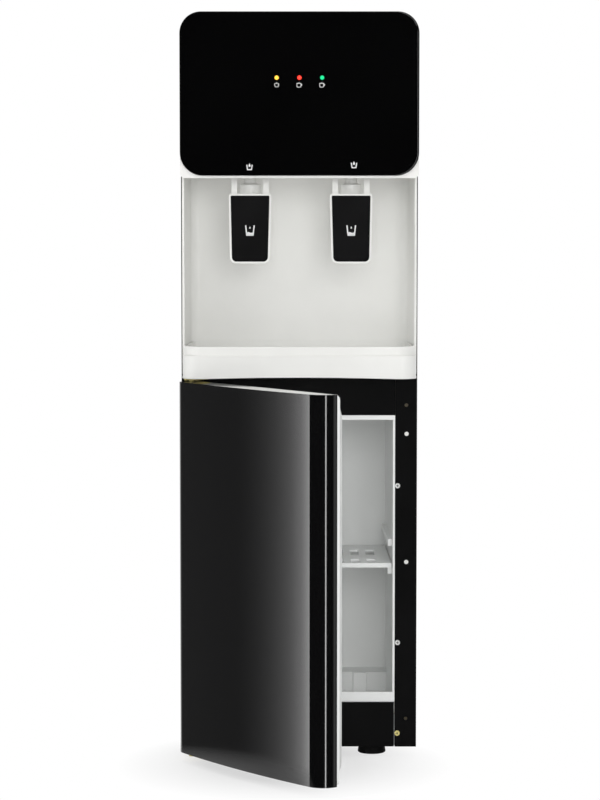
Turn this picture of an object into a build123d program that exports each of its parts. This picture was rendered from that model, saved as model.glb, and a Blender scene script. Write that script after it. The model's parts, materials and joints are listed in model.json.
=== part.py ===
from build123d import *
import math
import os

os.makedirs("parts", exist_ok=True)

# Overall sizes, millimetres. X right, front faces -Y, floor is Z = 0.
body_width = 310.0
cabinet_front = -155.0
cabinet_rear = 155.0
front_reach = 40.0
foot_height = 14.5
foot_y = 116.0
sheet = 1.0
wall = 2.5
half_body = body_width / 2
foot_x = half_body - 58.0
base_half = half_body - 15.0
front_plane = cabinet_front - front_reach

# Head with the dark display panel.
panel_top = 983.0
panel_bottom = 771.6
panel_thickness = 4.0
panel_top_radius = 28.0
panel_bottom_radius = 30.0
lip_height = 3.0
head_bottom = panel_bottom - lip_height
head_back = front_plane + panel_thickness
cover_bottom = 945.0
cover_top = 982.6

# Alcove between the head and the tray.
alcove_back = -60.0
alcove_half_front = half_body - 3.7
alcove_half_back = half_body - 9.5
alcove_corner = 12.0

# Drip tray housing and the tray in it.
lamp_places = (-29.4, 0.0, 29.4)
lamp_z = 897.9
tap_slot = 27.0
housing_top = 537.7
housing_bottom = 507.7
housing_half = half_body - 2.5
housing_corner = 20.0
band_top = 549.5
band_half = housing_half - 0.7
band_inset = 4.0
band_corner = 27.0
band_wall = 2.7
tray_clearance = 0.8
tray_rim_drop = 0.5
tray_wall = 2.5
tray_ledge = 3.0
tray_floor = 516.0
grille_top = 541.0
grille_thickness = 4.0

# Cabinet front with the compartment opening.
header_top = 505.0
opening_half = half_body - 28.6
opening_bottom = 75.6
opening_top = 457.0
liner_lip = 3.0
liner_lip_top = 6.0
sill_top = 88.0
liner_floor = 62.0
liner_wall = 2.5
liner_back = 35.0
liner_half_back = opening_half - 6.7
step_front = -5.0
step_top = 88.0
rib_x = 83.0
rib_width = 17.0
rib_depth = 6.0
kick_half = opening_half - 1.0
foam_rear = 57.0

# Shelf and the ledges it slides on.
shelf_top = 259.5
shelf_thickness = 5.8
shelf_front = -148.0
shelf_side_gap = 1.0
ledge_reach = 6.0
ledge_height = 9.0
upper_ledge_top = 291.0
slot_pitch = 21.3
slot_width = 12.0

# Door. The outline is drawn closed and then turned to the rest angle.
door_width = body_width - 1.8
door_bottom = 13.8
door_top = 503.9
door_gap = 3.0
door_depth = 42.0
door_bow = 8.8
door_corner = 24.0
door_skin = 2.0
door_rim = 9.0
door_angle = 51.2
hinge_u = 12.3
hinge_v = 13.0
hinge_x = -door_width / 2 + hinge_u
door_back = cabinet_front - door_gap
hinge_y = door_back - hinge_v
pin_radius = 3.0
pin_clearance = 0.05
bracket = 2.5
gasket_reach = 1.2

# Taps.
tap_spacing = 132.0
tap_shift = 1.5
tap_y = -138.0
pivot_y = -150.0
pivot_z = 800.0
pivot_radius = 2.0
paddle_top = 748.0
paddle_bottom = 657.8
paddle_top_y = -166.0
paddle_bottom_y = -185.0
paddle_half_top = 27.8
paddle_half_bottom = 25.7
paddle_border = 2.4
paddle_thickness = 4.0
inset_height = 0.8
chamber_radius = 14.0
chamber_bottom = 772.0
chamber_top = 795.0
skirt_radius = 13.7
spout_bottom = 722.0
collar_bottom = 806.0
cage_top = 830.0
fork_front = -145.6
fork_swing = 1.9

# Top seat for the bottle and the tanks.
inlet_z = 784.0
inlet_end = -90.0
tube_radius = 5.5
seat_y = 0.0
seat_radius = 92.0
seat_flange = 108.0
cold_radius = 60.0
cold_bottom = 795.0
cold_top = 893.0
foam_base = 9.0
foam_wall = 17.4
coil_radius = 3.0
hot_x = -45.0
hot_y = 55.0
hot_radius = 46.0
hot_bottom = 530.0
hot_top = 700.0
drain_stub_z = 548.0

# Rear.
rear_top = cover_bottom
comp_y = 107.0
condenser_half = 112.0
condenser_y = 163.0
condenser_low = 190.0
condenser_high = 720.0
condenser_passes = 11
drain_x = 25.0 - half_body
drain_z = 520.0
drain_front = 112.0


def block(x0, x1, y0, y1, z0, z1):
    box = Box(x1 - x0, y1 - y0, z1 - z0)
    return Pos((x0 + x1) / 2, (y0 + y1) / 2, (z0 + z1) / 2) * box


def rod_z(x, y, z0, z1, radius):
    return Pos(x, y, (z0 + z1) / 2) * Cylinder(radius, z1 - z0)


def rod_y(x, z, y0, y1, radius):
    turned = Rot(90, 0, 0) * Cylinder(radius, y1 - y0)
    return Pos(x, (y0 + y1) / 2, z) * turned


def rod_x(y, z, x0, x1, radius):
    turned = Rot(0, 90, 0) * Cylinder(radius, x1 - x0)
    return Pos((x0 + x1) / 2, y, z) * turned


def plan_prism(points, z0, z1):
    face = make_face(Polyline(points, close=True))
    return Pos(0, 0, z0) * extrude(face, amount=z1 - z0, dir=(0, 0, 1))


def side_prism(points, x0, x1):
    # points are (y, z) pairs
    face = make_face(Polyline([(x0, y, z) for y, z in points], close=True))
    return extrude(face, amount=x1 - x0, dir=(1, 0, 0))


def coil_tube(radius, pitch, turns, wire_radius, steps):
    # each turn is made of short straight lengths, whose middles lie at the radius
    corner = radius / math.cos(math.pi / steps)
    points = []
    for i in range(turns * steps + 1):
        angle = 2 * math.pi * i / steps
        points.append((corner * math.cos(angle), corner * math.sin(angle), pitch * i / steps))
    path = Polyline(points)
    ring = Plane(origin=path @ 0, z_dir=path % 0) * Circle(wire_radius)
    return sweep(ring, path=path, transition=Transition.RIGHT)


def spin(points, x, y):
    # points are (radius, z) pairs, turned about a vertical axis
    face = make_face(Polyline([(r, 0, z) for r, z in points], close=True))
    return Pos(x, y, 0) * revolve(face, Axis.Z)


def panel_outline(half, bottom, top, low_radius, high_radius):
    # rounded outline seen from the front, made of true arcs
    r = low_radius
    h = high_radius
    q = math.sqrt(0.5)
    edges = [
        Line((-half + r, 0, bottom), (half - r, 0, bottom)),
        ThreePointArc((half - r, 0, bottom), (half - r + r * q, 0, bottom + r - r * q),
                      (half, 0, bottom + r)),
        Line((half, 0, bottom + r), (half, 0, top - h)),
        ThreePointArc((half, 0, top - h), (half - h + h * q, 0, top - h + h * q),
                      (half - h, 0, top)),
        Line((half - h, 0, top), (-half + h, 0, top)),
        ThreePointArc((-half + h, 0, top), (-half + h - h * q, 0, top - h + h * q),
                      (-half, 0, top - h)),
        Line((-half, 0, top - h), (-half, 0, bottom + r)),
        ThreePointArc((-half, 0, bottom + r), (-half + r - r * q, 0, bottom + r - r * q),
                      (-half + r, 0, bottom)),
    ]
    return make_face(Wire(edges))


def panel_prism(half, bottom, top, low_radius, high_radius, y0, y1):
    face = panel_outline(half, bottom, top, low_radius, high_radius)
    return Pos(0, y0, 0) * extrude(face, amount=y1 - y0, dir=(0, 1, 0))


def bow_prism(half, front, back, corner, z0, z1):
    # plan outline with two rounded front corners and a straight back
    r = corner
    q = math.sqrt(0.5)
    edges = [
        Line((-half, back), (-half, front + r)),
        ThreePointArc((-half, front + r), (-half + r - r * q, front + r - r * q),
                      (-half + r, front)),
        Line((-half + r, front), (half - r, front)),
        ThreePointArc((half - r, front), (half - r + r * q, front + r - r * q),
                      (half, front + r)),
        Line((half, front + r), (half, back)),
        Line((half, back), (-half, back)),
    ]
    face = make_face(Wire(edges))
    return Pos(0, 0, z0) * extrude(face, amount=z1 - z0, dir=(0, 0, 1))


def mirror_x(shape):
    return mirror(shape, about=Plane.YZ)


def save(name, *solids):
    flat = []
    for s in solids:
        flat.extend(s.solids() if hasattr(s, "solids") else [s])
    shape = flat[0] if len(flat) == 1 else Compound(children=flat)
    export_step(shape, "parts/" + name + ".step")


# ---------------------------------------------------------------- cabinet steel

flange_holes = [(half_body - 14.0, 470.4), (half_body - 14.0, 52.5)]
plug_places = [(half_body - 13.8, 432.4), (half_body - 13.8, 262.1)]
screw_places = [(opening_half + 3.2, 363.6), (opening_half + 3.6, 154.4)]
yellow_place = (opening_half + 3.4, 32.8)


def side_panel():
    # right hand sheet with a wide front flange and a narrow rear return
    skin = block(half_body - sheet, half_body, cabinet_front, cabinet_rear, foot_height, cover_bottom)
    flange = block(opening_half, half_body, cabinet_front, cabinet_front + sheet,
                   foot_height, header_top)
    hem = block(opening_half, opening_half + sheet, cabinet_front, cabinet_front + 9,
                opening_bottom, opening_top)
    rear = block(half_body - 12, half_body, cabinet_rear - sheet * 2, cabinet_rear - sheet,
                 foot_height, cover_bottom)
    foot = block(half_body - 14, half_body, cabinet_front, cabinet_rear - sheet,
                 foot_height, foot_height + sheet)
    panel = skin + flange + hem + rear + foot
    for x, z in flange_holes + plug_places:
        panel -= rod_y(x, z, cabinet_front - 1, cabinet_front + 3, 2.4)
    for x, z in screw_places + [yellow_place]:
        panel -= rod_y(x, z, cabinet_front - 1, cabinet_front + 3, 1.6)
    for z in (120.0, 132.0, 144.0, 156.0):
        slot = block(half_body - 3, half_body + 1, 92, 132, z, z + 4)
        panel -= slot
    for z in (860.0, 872.0, 884.0, 896.0):
        slot = block(half_body - 3, half_body + 1, 60, 120, z, z + 4)
        panel -= slot
    return panel


right_side = side_panel()
save("right_side_panel", right_side)
save("left_side_panel", mirror_x(right_side))


def rear_panel():
    skin = block(-half_body + sheet, half_body - sheet, cabinet_rear - sheet, cabinet_rear,
                 foot_height, rear_top)
    for row in range(7):
        z = 60 + row * 13
        for x0 in (-118.0, -52.0, 14.0):
            skin -= block(x0, x0 + 52, cabinet_rear - 3, cabinet_rear + 1, z, z + 5)
    for row in range(5):
        z = 872 + row * 12
        skin -= block(-110, -14, cabinet_rear - 3, cabinet_rear + 1, z, z + 4)
    skin -= block(35, 61, cabinet_rear - 3, cabinet_rear + 1, 845, 880)
    skin -= block(71, 97, cabinet_rear - 3, cabinet_rear + 1, 845, 880)
    skin -= rod_y(92, 112, cabinet_rear - 3, cabinet_rear + 1, 9.2)
    skin -= rod_y(drain_x, drain_z, cabinet_rear - 3, cabinet_rear + 1, 10.2)
    skin = skin - rod_y(100, 170, cabinet_rear - 3, cabinet_rear + 1, 4.0)
    skin = skin - rod_y(100, 745, cabinet_rear - 3, cabinet_rear + 1, 4.0)
    return skin


save("rear_panel", rear_panel())


def base_plate():
    z0 = foot_height + sheet
    floor = block(-base_half, base_half, cabinet_front + 4, cabinet_rear - 3, z0, z0 + 1.5)
    front_half = base_half - 4
    notch = kick_half + 1.4
    front = block(-front_half, front_half, cabinet_front + 2.5, cabinet_front + 4, z0, 58)
    front -= block(-base_half, -notch, cabinet_front, cabinet_front + 8, 44, 53)
    front -= block(notch, base_half, cabinet_front, cabinet_front + 8, 44, 53)
    rear_half = base_half - 2
    rear = block(-rear_half, rear_half, cabinet_rear - 4.5, cabinet_rear - 3, z0, 36)
    left = block(-base_half, 1.5 - base_half, cabinet_front + 4, cabinet_rear - 3, z0, 34)
    plate = floor + front + rear + left + mirror_x(left)
    for x in (-foot_x, foot_x):
        for y in (-foot_y, foot_y):
            plate -= rod_z(x, y, z0 - 1, z0 + 3, 4.2)
    for row in range(5):
        y = 78 + row * 14
        plate -= block(-18, 18, y, y + 6, z0 - 1, z0 + 3)
    return plate


save("base_plate", base_plate())


def kick_plate():
    face = block(-kick_half, kick_half, cabinet_front, cabinet_front + sheet, foot_height + 0.2,
                 opening_bottom - 1.0)
    tabs = block(-100, -70, cabinet_front, cabinet_front + 2.5, 30, 50)
    return face + tabs + mirror_x(tabs)


save("kick_plate", kick_plate())


def header_panel():
    face = block(-opening_half + 0.1, opening_half - 0.1, cabinet_front, cabinet_front + sheet,
                 opening_top, header_top)
    top = block(-opening_half + 0.1, opening_half - 0.1, cabinet_front, cabinet_front + 28,
                header_top - sheet, header_top)
    low = block(-opening_half + 0.1, opening_half - 0.1, cabinet_front, cabinet_front + 9,
                opening_top, opening_top + sheet)
    return face + top + low


save("header_panel", header_panel())


def mid_deck():
    # sheet shelf under the tray housing that carries the hot tank
    z0 = header_top
    deck = block(-half_body + sheet, half_body - sheet, cabinet_front + 28.5, cabinet_rear - 2,
                 z0 - 1.2, z0)
    edge = block(-half_body + sheet, -half_body + sheet + 1.2, cabinet_front + 28.5,
                 cabinet_rear - 2, z0 - 14, z0)
    deck = deck + edge + mirror_x(edge)
    deck -= rod_z(60, 110, z0 - 3, z0 + 2, 14)
    return deck


save("mid_deck", mid_deck())


def pan_screw(x, z, radius, y_face):
    head = rod_y(x, z, y_face - screw_head, y_face, radius)
    dome = fillet(head.faces().sort_by(Axis.Y)[0].edges(), screw_head / 2)
    shank = rod_y(x, z, y_face, y_face + 2.3, 1.5)
    deep = y_face - screw_head + 0.7
    cross = block(x - 1.6, x + 1.6, y_face - 2.4, deep, z - 0.4, z + 0.4)
    cross2 = block(x - 0.4, x + 0.4, y_face - 2.4, deep, z - 1.6, z + 1.6)
    return dome + shank - cross - cross2


screw_head = 1.4
silver = []
for sx in (-1, 1):
    for x, z in screw_places:
        silver.append(pan_screw(sx * x, z, 3.4, cabinet_front))
save("liner_screws", *silver)

plug_head = 1.2
plugs = []
for sx in (-1, 1):
    for x, z in plug_places:
        button = rod_y(sx * x, z, cabinet_front - plug_head, cabinet_front, 2.85)
        button = fillet(button.faces().sort_by(Axis.Y)[0].edges(), 0.8)
        plugs.append(button + rod_y(sx * x, z, cabinet_front, cabinet_front + 4, 2.3))
save("flange_plugs", *plugs)


def levelling_foot(x, y):
    pad = spin([(0, 0), (17.6, 0), (18.6, 0.9), (18.6, 2.4), (17.0, 11.0), (16.4, 12.4),
                (13.0, 14.0), (0, 14.0)], x, y)
    nut = Pos(x, y, 14.0) * extrude(RegularPolygon(6.5, 6), amount=1.0)
    stem = rod_z(x, y, 14.0, 34.0, 4.0)
    return pad + nut + stem


save("levelling_feet", *[levelling_foot(x, y) for x in (-foot_x, foot_x)
                        for y in (-foot_y, foot_y)])

# ---------------------------------------------------------------- compartment


def half_at(y):
    # inner half width of the compartment at a depth
    share = (y - cabinet_front) / (liner_back - cabinet_front)
    front_half = opening_half - liner_lip
    return front_half + (liner_half_back - front_half) * share


def tub(extra, y0, y1, z0, z1):
    a = half_at(y0) + extra
    b = half_at(y1) + extra
    return plan_prism([(-a, y0), (a, y0), (b, y1), (-b, y1)], z0, z1)


def cabinet_liner():
    w = liner_wall
    outer = tub(w, cabinet_front + 1.2, liner_back + w, liner_floor - w, opening_top - 1.5)
    cavity = tub(0, cabinet_front + 4.0, liner_back, liner_floor, opening_top - liner_lip_top)
    cavity -= block(-200, 200, step_front, 200, 0, step_top)
    for x in (-rib_x, 0.0, rib_x):
        cavity -= block(x - rib_width / 2, x + rib_width / 2, step_front - rib_depth, step_front + 5,
                        0, step_top)
    rounds = [e for e in cavity.edges().filter_by(Axis.Z)
              if abs(e.center().Y - liner_back) < 1 or abs(e.center().Y - step_front) < 1]
    cavity = fillet(rounds, 2.5)
    window = block(-opening_half + liner_lip, opening_half - liner_lip, cabinet_front - 2,
                   cabinet_front + 6, sill_top, opening_top - liner_lip_top)
    lip = block(-opening_half + 0.3, opening_half - 0.3, cabinet_front - 0.4, cabinet_front + 1.2,
                opening_bottom + 0.1, opening_top - 0.1)
    shell = outer - cavity + lip - window
    for top in (shelf_top - shelf_thickness, upper_ledge_top):
        for side in (-1, 1):
            y0 = cabinet_front + 12
            y1 = liner_back - 6
            a = half_at(y0)
            b = half_at(y1)
            pts = [(side * (a - ledge_reach), y0), (side * (a + 1), y0),
                   (side * (b + 1), y1), (side * (b - ledge_reach), y1)]
            shell += plan_prism(pts, top - ledge_height, top)
    return shell


save("cabinet_liner", cabinet_liner())


def liner_foam():
    w = liner_wall
    whole = block(-half_body + sheet, half_body - sheet, cabinet_front + 12, foam_rear, 42, 490)
    return whole - tub(w, cabinet_front - 2, liner_back + w, liner_floor - w, opening_top - 1.5)


save("liner_foam", liner_foam())


def shelf():
    g = shelf_side_gap
    z0 = shelf_top - shelf_thickness
    y1 = liner_back - 2
    a = half_at(shelf_front) - g
    b = half_at(y1) - g
    plate = plan_prism([(-a, shelf_front), (a, shelf_front), (b, y1), (-b, y1)], z0, shelf_top)
    under = plan_prism([(-a + 9, shelf_front + 3), (a - 9, shelf_front + 3), (b - 9, y1 - 3),
                        (-b + 9, y1 - 3)], z0 - 1, shelf_top - 2.4)
    plate -= under
    rows = [(cabinet_front + 17, cabinet_front + 46), (cabinet_front + 88, cabinet_front + 139)]
    for y0, yb in rows:
        for i in range(10):
            x = (i - 4.5) * slot_pitch
            plate -= block(x - slot_width / 2, x + slot_width / 2, y0, yb, z0 - 2, shelf_top + 1)
    for y in (cabinet_front + 64, cabinet_front + 160):
        plate += block(-half_at(y) + 9.5, half_at(y) - 9.5, y - 1, y + 1, z0, shelf_top - 1)
    return plate


save("shelf", shelf())

# ---------------------------------------------------------------- head, alcove and tray


def tap_places():
    return (-tap_spacing / 2 + tap_shift, tap_spacing / 2 + tap_shift)


def tray_plan(gap, z0, z1):
    # outline shared by the well, the tray in it and the grille in the tray
    half = band_half - band_wall - gap
    front = front_plane + band_inset + band_wall + gap
    outline = bow_prism(half, front, alcove_back - gap, band_corner - band_wall - gap, z0, z1)
    slope = (alcove_half_front - alcove_half_back) / (alcove_back - cabinet_front)
    wide = alcove_half_front + slope * 60 - gap
    narrow = alcove_half_back - gap
    y0 = cabinet_front - 60
    sides = plan_prism([(-wide, y0), (wide, y0), (narrow, alcove_back), (-narrow, alcove_back)],
                       z0, z1)
    outline = outline & sides
    corners = [e for e in outline.edges().filter_by(Axis.Z)
               if e.center().Y > alcove_back - gap - 0.5]
    return fillet(corners, alcove_corner)


def head_housing():
    w = wall
    low = head_bottom
    head = panel_prism(half_body - 0.4, low, panel_top - 0.4, 6, panel_top_radius, head_back,
                       cabinet_front)
    head -= panel_prism(half_body - 0.4 - w, low + w, panel_top - 0.4 - w, 4,
                        panel_top_radius - w, head_back + w, cabinet_front + 1)
    for x in tap_places():
        head -= block(x - tap_slot, x + tap_slot, -174, -122, low - 1, low + w + 1)
    for x in lamp_places:
        head -= rod_y(x, lamp_z, head_back - 1, head_back + 4, 4.2)
    return head


save("head_housing", head_housing())


def alcove_moulding():
    w = wall
    low = head_bottom
    outer = plan_prism([(-alcove_half_front - w, cabinet_front), (-alcove_half_back - w, alcove_back + w),
                        (alcove_half_back + w, alcove_back + w),
                        (alcove_half_front + w, cabinet_front)], housing_bottom + 4, low + w)
    inner = plan_prism([(-alcove_half_front - 1, cabinet_front - 20), (-alcove_half_back, alcove_back),
                        (alcove_half_back, alcove_back),
                        (alcove_half_front + 1, cabinet_front - 20)], housing_top, low)
    back_edges = [e for e in inner.edges().filter_by(Axis.Z) if e.center().Y > alcove_back - 1]
    alcove = outer - fillet(back_edges, alcove_corner)
    house = bow_prism(housing_half, front_plane, alcove_back + w, housing_corner, housing_bottom,
                      housing_top)
    house += bow_prism(housing_half + 0.6, front_plane - 0.8, alcove_back + w,
                       housing_corner + 0.8, housing_bottom, housing_bottom + 2.4)
    band = bow_prism(band_half, front_plane + band_inset, cabinet_front + 2, band_corner,
                     housing_top - 1, band_top)
    band = fillet(band.faces().sort_by(Axis.Z)[-1].edges().sort_by(Axis.Y)[:-1], 1.5)
    body = alcove + house + band - tray_plan(0, housing_bottom + 4, band_top + 1)
    arch = Pos(0, 0, housing_bottom - 3990 + 2.0) * (Rot(90, 0, 0) * Cylinder(3990, 120))
    body -= Pos(0, front_plane, 0) * arch
    for x in tap_places():
        body -= block(x - tap_slot, x + tap_slot, -174, -122, low - 1, low + w + 1)
    return body


save("alcove_moulding", alcove_moulding())


def display_panel():
    plate = panel_prism(half_body, panel_bottom, panel_top, panel_bottom_radius,
                        panel_top_radius, front_plane, head_back)
    rim = plate.faces().sort_by(Axis.Y)[0].edges()
    plate = fillet(rim, 2.2)
    for x in lamp_places:
        plate -= rod_y(x, lamp_z, front_plane - 1, head_back + 1, 2.7)
    return plate


save("display_panel", display_panel())


def lens(x):
    dome = rod_y(x, lamp_z, front_plane - 0.5, head_back, 2.6)
    dome = fillet(dome.faces().sort_by(Axis.Y)[0].edges(), 0.5)
    return dome + rod_y(x, lamp_z, head_back, head_back + 6.0, 3.4)


save("power_lens", lens(lamp_places[0]))
save("heat_lens", lens(lamp_places[1]))
save("cool_lens", lens(lamp_places[2]))


def indicator_board():
    y0 = head_back + 6.0
    board = block(-46, 46, y0, y0 + 1.6, 884, 912)
    for x in (-40.0, 40.0):
        board += rod_y(x, 890, head_back + wall, y0, 3)
        board += rod_y(x, 906, head_back + wall, y0, 3)
    board += block(-10, 10, y0 + 1.6, y0 + 8, 886, 893)
    return board


def drip_tray():
    g = tray_clearance
    rim_top = band_top - tray_rim_drop
    tray = tray_plan(g, housing_bottom + 4, rim_top)
    tray = fillet(tray.faces().sort_by(Axis.Z)[-1].edges(), 0.8)
    seat = tray_plan(g + tray_wall, grille_top - grille_thickness, rim_top + 1)
    basin = tray_plan(g + tray_wall + tray_ledge, tray_floor + 4, rim_top + 1)
    basin_floor = tray_plan(g + tray_wall + tray_ledge + 3, tray_floor, rim_top)
    return tray - seat - basin - basin_floor


save("drip_tray", drip_tray())


def drip_grille():
    z0 = grille_top - grille_thickness
    plate = tray_plan(2 * tray_clearance + tray_wall, z0, grille_top)
    for row in range(2):
        y0 = front_plane + 24 + row * 50
        for i in range(23):
            x = (i - 11) * 11.6
            plate -= block(x - 3, x + 3, y0, y0 + 42, z0 - 1, grille_top + 1)
    plate -= block(-12, 12, alcove_back - 19.5, alcove_back - 12.5, z0 - 1, grille_top + 1)
    return plate


save("drip_grille", drip_grille())

# ---------------------------------------------------------------- taps


def tap_body(x):
    shape = spin([(4.5, spout_bottom), (7.0, spout_bottom), (8.2, 742.0), (skirt_radius, 744.0),
                  (skirt_radius, 760.0), (8.0, 761.5), (8.0, chamber_bottom),
                  (chamber_radius, chamber_bottom), (chamber_radius, chamber_top + 3),
                  (2.1, chamber_top + 3), (2.1, chamber_top), (10.5, chamber_top),
                  (10.5, 776.0), (4.5, 776.0)], x, tap_y)
    inlet = rod_y(x, inlet_z, tap_y + chamber_radius - 1.5, -104, 6.5)
    inlet += rod_y(x, inlet_z, -104, inlet_end, 5.0)
    for y in (-102.0, -98.0, -94.0):
        inlet += rod_y(x, inlet_z, y, y + 1.5, 5.8)
    inlet -= rod_y(x, inlet_z, tap_y + 8, -89, 3.0)
    tongue = block(x - 20, x + 20, tap_y + 8, -98, head_bottom + wall, head_bottom + wall + 3)
    tongue -= rod_z(x, tap_y, 760, 800, chamber_radius - 0.5)
    ribs = block(x - 1.5, x + 1.5, tap_y + 13, -100, head_bottom + wall, inlet_z - 4)
    cheek = block(x + 13.0, x + 15.5, pivot_y - 5, tap_y + 12, 786, cage_top + 3)
    cheek -= block(x + 12, x + 17, fork_front - fork_swing, tap_y + 7, 799, 812)
    other = block(x - 15.5, x - 13.0, pivot_y - 5, tap_y + 12, 786, cage_top + 3)
    other -= block(x - 17, x - 12, fork_front - fork_swing, tap_y + 7, 799, 812)
    roof = block(x - 15.5, x + 15.5, tap_y - 9, tap_y + 9, cage_top, cage_top + 3)
    pin = rod_x(pivot_y, pivot_z, x - 27, x - 13, pivot_radius)
    pin += rod_x(pivot_y, pivot_z, x + 13, x + 27, pivot_radius)
    return shape + inlet + tongue + ribs + cheek + other + roof + pin


def valve_stem(x):
    return spin([(0, 776.0), (4.0, 776.0), (7.0, 777.5), (7.0, 780.0), (3.0, 783.0), (1.9, 784.0),
                 (1.9, collar_bottom), (8.0, collar_bottom), (8.0, collar_bottom + 2.5),
                 (3.0, collar_bottom + 2.5), (3.0, collar_bottom + 6.0), (0, collar_bottom + 6.0)],
                x, tap_y)


def valve_spring(x):
    z0 = collar_bottom + 2.5
    height = cage_top - z0
    return Pos(x, tap_y, z0 + 0.5) * coil_tube(5.6, (height - 1.0) / 5, 5, 0.5, 10)


def plate_outline(x, half_top, half_bottom, top, bottom, low_radius, high_radius):
    flat = make_face(Polyline([(x - half_top, top), (x + half_top, top), (x + half_bottom, bottom),
                               (x - half_bottom, bottom)], close=True))
    low = [v for v in flat.vertices() if v.Y < (top + bottom) / 2]
    flat = fillet(low, low_radius)
    high = flat.vertices().sort_by(Axis.Y)[-2:]
    return fillet(high, high_radius)


def leaned_plate(sketch, base, thickness):
    # lay a front view outline onto the leaning paddle plane
    lean = math.degrees(math.atan2(paddle_top_y - paddle_bottom_y, paddle_top - paddle_bottom))
    solid = extrude(sketch, amount=thickness, dir=(0, 0, 1))
    solid = Pos(0, 0, base) * solid
    upright = Rot(90, 0, 0) * solid
    pivoted = Pos(0, 0, -paddle_top) * upright
    return Pos(0, paddle_top_y, paddle_top) * (Rot(-lean, 0, 0) * pivoted)


def paddle(x):
    stretch = math.hypot(paddle_top - paddle_bottom, paddle_top_y - paddle_bottom_y)
    outline = plate_outline(x, paddle_half_top, paddle_half_bottom, paddle_top,
                            paddle_top - stretch, 8.5, 3.0)
    plate = leaned_plate(outline, -paddle_thickness, paddle_thickness)
    b = paddle_border
    recess = plate_outline(x, paddle_half_top - b, paddle_half_bottom - b, paddle_top - b,
                           paddle_top - stretch + b, 6.1, 1.6)
    plate -= leaned_plate(recess, -1.6, 3.0)
    front = paddle_top_y
    profile = [(front + 2.0, paddle_top - 4), (front + 7, 770.0), (-155.0, 804.0),
               (-140.0, 807.0), (-140.0, 798.0), (-145.0, 792.0), (front + 13, 768.0),
               (front + 4, paddle_top - 4)]
    arm = side_prism(profile, x + 17.0, x + 24.3)
    arm -= rod_x(pivot_y, pivot_z, x + 16, x + 28, pivot_radius + pin_clearance)
    fork = block(x + 4.5, x + 24.3, fork_front, -133, 802.0, 805.6)
    arm += fork
    arm -= rod_x(pivot_y, pivot_z, x + 16, x + 28, pivot_radius + pin_clearance)
    lever = plate + arm
    left_arm = Pos(2 * x, 0, 0) * mirror_x(arm)
    return lever + left_arm


def paddle_inset(x):
    stretch = math.hypot(paddle_top - paddle_bottom, paddle_top_y - paddle_bottom_y)
    b = paddle_border + 0.15
    outline = plate_outline(x, paddle_half_top - b, paddle_half_bottom - b, paddle_top - b,
                            paddle_top - stretch + b, 6.0, 1.5)
    return leaned_plate(outline, -1.6, 1.6 + inset_height)


for name, place in zip(("left", "right"), tap_places()):
    save(name + "_tap_body", tap_body(place))
    save(name + "_valve_stem", valve_stem(place))
    save(name + "_valve_spring", valve_spring(place))
    save(name + "_paddle", paddle(place))
    save(name + "_paddle_inset", paddle_inset(place))

# ---------------------------------------------------------------- top and tanks


def top_cover():
    t = 3.0
    body = panel_prism(half_body, cover_bottom - 60, cover_top, 5, panel_top_radius,
                       cabinet_front, cabinet_rear)
    body = fillet(body.edges().filter_by(Axis.X).sort_by(Axis.Z)[-1:], 6)
    core = panel_prism(half_body - t, cover_bottom - 70, cover_top - t, 5, panel_top_radius - t,
                       cabinet_front - 1, cabinet_rear - t)
    body = body - core - block(-200, 200, -200, 200, 800, cover_bottom)
    body -= rod_z(0, seat_y, cover_bottom, cover_top + 5, seat_radius + 2.5)
    body -= rod_z(0, seat_y, cover_top - 1.5, cover_top + 5, seat_flange + 0.5)
    tab = block(-half_body + sheet + 0.2, -half_body + sheet + 2.2, -120, 120, cover_bottom - 14,
                cover_bottom + 6)
    return body + tab + mirror_x(tab)


save("top_cover", top_cover())


def bottle_seat():
    top = cover_top - 1.5
    return spin([(seat_radius - 4, top + 2.6), (seat_flange, top + 2.2), (seat_flange, top),
                 (seat_radius + 2, top), (seat_radius - 6, top - 12), (38.0, 927.0),
                 (34.0, 920.0), (34.0, cold_top), (20.0, cold_top), (20.0, cold_top + 3),
                 (31.0, cold_top + 3), (31.0, 921.5), (35.0, 929.5), (seat_radius - 9, top - 11)],
                0, seat_y)


save("bottle_seat", bottle_seat())


def probe_spike():
    shape = spin([(4.0, cold_top - 6), (19.6, cold_top - 6), (19.6, cold_top + 3),
                  (25.0, cold_top + 3), (25.0, cold_top + 5), (9.5, cold_top + 6),
                  (8.5, 936.0), (6.0, 944.0), (0, 946.0), (0, 943.0), (4.0, 938.0)], 0, seat_y)
    for turn in (0, 90):
        slot = Rot(0, 0, turn) * block(-12, 12, -2, 2, 918, 932)
        shape -= Pos(0, seat_y, 0) * slot
    return shape


save("probe_spike", probe_spike())


def cold_tank():
    r = cold_radius
    shape = spin([(0, cold_bottom), (r - 14, cold_bottom), (r - 4, cold_bottom + 4), (r, cold_bottom + 14),
                  (r, cold_top - 3), (r + 3, cold_top - 3), (r + 3, cold_top), (20.0, cold_top),
                  (20.0, cold_top - 1.5), (r - 1.2, cold_top - 1.5), (r - 1.2, cold_bottom + 14),
                  (r - 5, cold_bottom + 5.2), (r - 14.5, cold_bottom + 1.2), (0, cold_bottom + 1.2)],
                 0, seat_y)
    outlet = rod_z(20, -30 + seat_y, cold_bottom - 20, cold_bottom + 0.6, 5)
    return shape + outlet


save("cold_tank", cold_tank())


coil_sides = 20


def evaporator_coil():
    r = cold_radius + coil_radius + 0.1
    return Pos(0, seat_y, cold_bottom + 22) * coil_tube(r, 13.0, 4, coil_radius, coil_sides)


save("evaporator_coil", evaporator_coil())


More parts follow.
